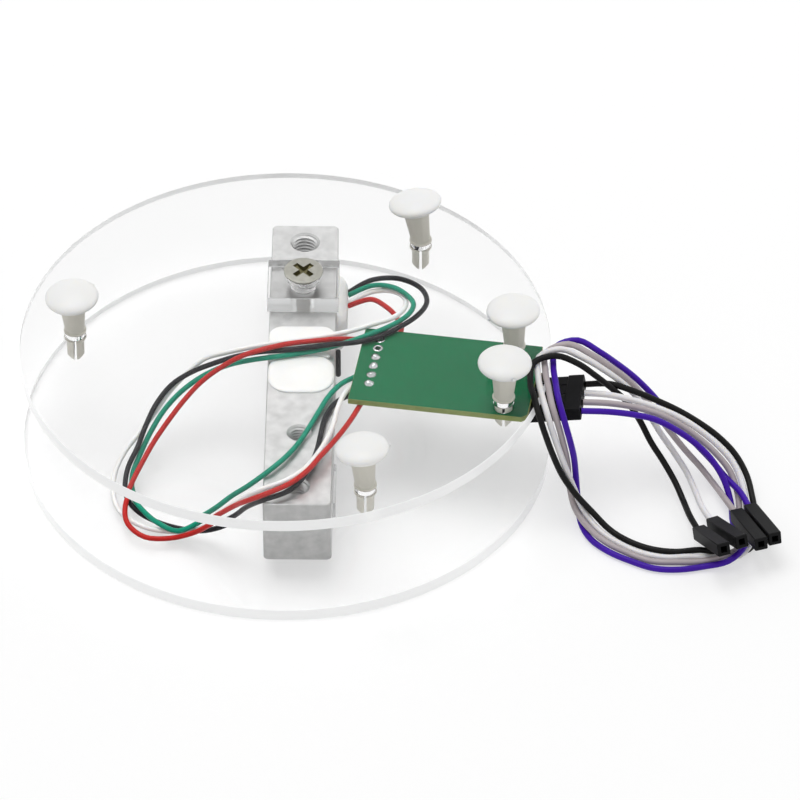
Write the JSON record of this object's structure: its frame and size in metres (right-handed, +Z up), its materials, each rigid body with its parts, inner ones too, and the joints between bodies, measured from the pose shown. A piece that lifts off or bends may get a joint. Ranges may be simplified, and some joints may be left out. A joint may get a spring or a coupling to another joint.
{
  "type": "digital load cell",
  "caption": "Bar load cell between two clear round plates, upside down on its weighing plate, with push-in feet, converter board and a jumper lead.",
  "frame": {"origin": "centre of the weighing plate's flat outer face, which lies on the surface in the picture's pose", "axes": "+X to the right along the jumper lead's side, +Y along the bar away from the viewer, +Z up from the weighing plate towards the feet"},
  "size_m": [0.143, 0.1, 0.0347],
  "materials": {
    "clear_acrylic": "clear cut sheet, polished",
    "bare_aluminium": "milled, fine satin",
    "zinc_steel": "dull zinc plated",
    "gauge_foil": "thin foil on film",
    "white_silicone": "cured sealant, soft sheen",
    "white_nylon": "moulded, translucent, soft sheen",
    "green_board": "solder mask, semi-gloss",
    "black_plastic": "moulded",
    "ceramic_parts": "fired chip parts",
    "solder": "bright solder",
    "plated_pins": "thin bright plating",
    "black_wire": "soft insulation",
    "green_wire": "soft insulation",
    "white_wire": "soft insulation",
    "red_wire": "soft insulation",
    "grey_wire": "soft insulation",
    "purple_wire": "soft insulation"
  },
  "bodies": {
    "root": {"weighing_plate": "clear_acrylic", "base_plate": "clear_acrylic", "pan_spacer": "clear_acrylic", "base_spacer": "clear_acrylic", "load_cell_bar": "bare_aluminium", "pan_screw": "zinc_steel", "base_screw": "zinc_steel", "strain_gauges": "gauge_foil", "sealant_top": "white_silicone", "sealant_bottom": "white_silicone", "sealant_side": "white_silicone", "gauge_lead": "black_wire", "foot_left": "white_nylon", "foot_far": "white_nylon", "foot_near": "white_nylon", "board_foot_far": "white_nylon", "board_foot_near": "white_nylon", "circuit_board": "green_board", "converter_chip": "black_plastic", "regulator_transistor": "black_plastic", "small_components": "ceramic_parts", "solder_joints": "solder", "header_strip": "black_plastic", "header_pins": "plated_pins", "four_way_housing": "black_plastic", "four_way_contacts": "plated_pins", "single_housing_black": "black_plastic", "single_housing_white": "black_plastic", "single_housing_grey": "black_plastic", "single_housing_purple": "black_plastic", "single_contacts": "plated_pins", "sensor_wire_black": "black_wire", "sensor_wire_green": "green_wire", "sensor_wire_white": "white_wire", "sensor_wire_red": "red_wire", "jumper_wire_black": "black_wire", "jumper_wire_white": "white_wire", "jumper_wire_grey": "grey_wire", "jumper_wire_purple": "purple_wire"}
  },
  "joints": []
}
